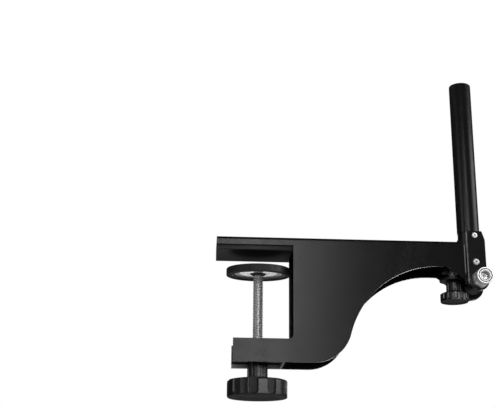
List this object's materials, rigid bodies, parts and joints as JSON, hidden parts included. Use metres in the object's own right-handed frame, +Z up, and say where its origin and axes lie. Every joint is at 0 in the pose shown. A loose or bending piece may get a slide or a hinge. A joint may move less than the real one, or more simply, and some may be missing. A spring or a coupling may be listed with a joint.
{
  "type": "table tennis net clamp",
  "caption": "Table edge clamp carrying a hinged net post: channel bracket, hand screw with swivelling pad, upright tube post leaned by a tension knob.",
  "frame": {"origin": "on the clamp screw's axis, at the face of the top jaw's liner that rests on the table top", "axes": "+X along the arm from the jaws to the post, +Y from the socket head side to the cap nut side, +Z up along the clamp screw and the post"},
  "size_m": [0.2173, 0.0537, 0.264],
  "materials": {
    "bracket_coat": "satin black powder coat on folded steel",
    "insert_coat": "dark grey coat on pressed steel",
    "post_coat": "satin black powder coat on steel tube and bar",
    "liner_rubber": "matt black moulded rubber",
    "pad_rubber": "matt black moulded rubber",
    "cap_plastic": "fine matt black plastic",
    "knob_plastic": "semi-matt black moulded plastic",
    "knob_cap_plastic": "dark grey semi-matt plastic",
    "black_oxide": "black oxide steel",
    "zinc_steel": "zinc plated steel",
    "bright_steel": "bright plated steel",
    "dish_metal": "dull plated pressed steel"
  },
  "bodies": {
    "bracket": {"bracket": "bracket_coat", "jaw_liner": "liner_rubber", "jaw_insert": "insert_coat", "clamp_nut": "zinc_steel", "tension_anchor": "bracket_coat", "tension_nut": "zinc_steel", "pivot_bolt": "zinc_steel", "pivot_jam_nut": "zinc_steel", "pivot_cap_nut": "knob_plastic", "pivot_bush": "zinc_steel"},
    "post": {"post_tube": "post_coat", "post_top_cap": "cap_plastic", "post_foot": "black_oxide", "hinge_plate_front": "post_coat", "hinge_plate_back": "post_coat", "upper_rivet": "bright_steel", "lower_rivet": "bright_steel", "rivet_spacers": "black_oxide"},
    "tension_carriage": {"tension_washer": "black_oxide", "tension_sleeve": "zinc_steel"},
    "tension_knob": {"tension_screw": "zinc_steel", "tension_knob": "knob_plastic", "tension_knob_cap": "cap_plastic"},
    "clamp_carriage": {"swivel_ring": "bright_steel"},
    "clamp_screw": {"clamp_screw": "bright_steel", "clamp_knob": "knob_plastic", "clamp_knob_cap": "knob_cap_plastic"},
    "pad": {"pad_rubber": "pad_rubber", "pad_dish": "dish_metal"}
  },
  "joints": [
    {"name": "clamp_travel", "type": "slide", "parent": "bracket", "child": "clamp_carriage", "axis": [0, 0, 1], "range_m": [-0.048, 0.0005]},
    {"name": "clamp_knob_turn", "type": "hinge", "parent": "clamp_carriage", "child": "clamp_screw", "pos_m": [0, 0, -0.1], "axis": [0, 0, 1], "range_deg": [-13830, 146]},
    {"name": "pad_tilt", "type": "hinge", "parent": "clamp_carriage", "child": "pad", "pos_m": [0, 0, -0.01445], "axis": [1, 0, 0], "range_deg": [-7.7, 2.3]},
    {"name": "tension_travel", "type": "slide", "parent": "bracket", "child": "tension_carriage", "axis": [0, 0, 1], "range_m": [-0.0006, 0.0016]},
    {"name": "tension_knob_turn", "type": "hinge", "parent": "tension_carriage", "child": "tension_knob", "pos_m": [0.1556, 0, -0.03], "axis": [0, 0, 1], "range_deg": [-273, 723]},
    {"name": "post_tilt", "type": "hinge", "parent": "bracket", "child": "post", "pos_m": [0.1733, 0, -0.0183], "axis": [0, 1, 0], "range_deg": [-1.97, 5.22]}
  ],
  "couplings": [
    {"joint": "clamp_knob_turn", "follows": "clamp_travel", "rad_per_m": 5026.5},
    {"joint": "tension_knob_turn", "follows": "tension_travel", "rad_per_m": 7854},
    {"joint": "post_tilt", "follows": "tension_travel", "rad_per_m": 56.497}
  ]
}
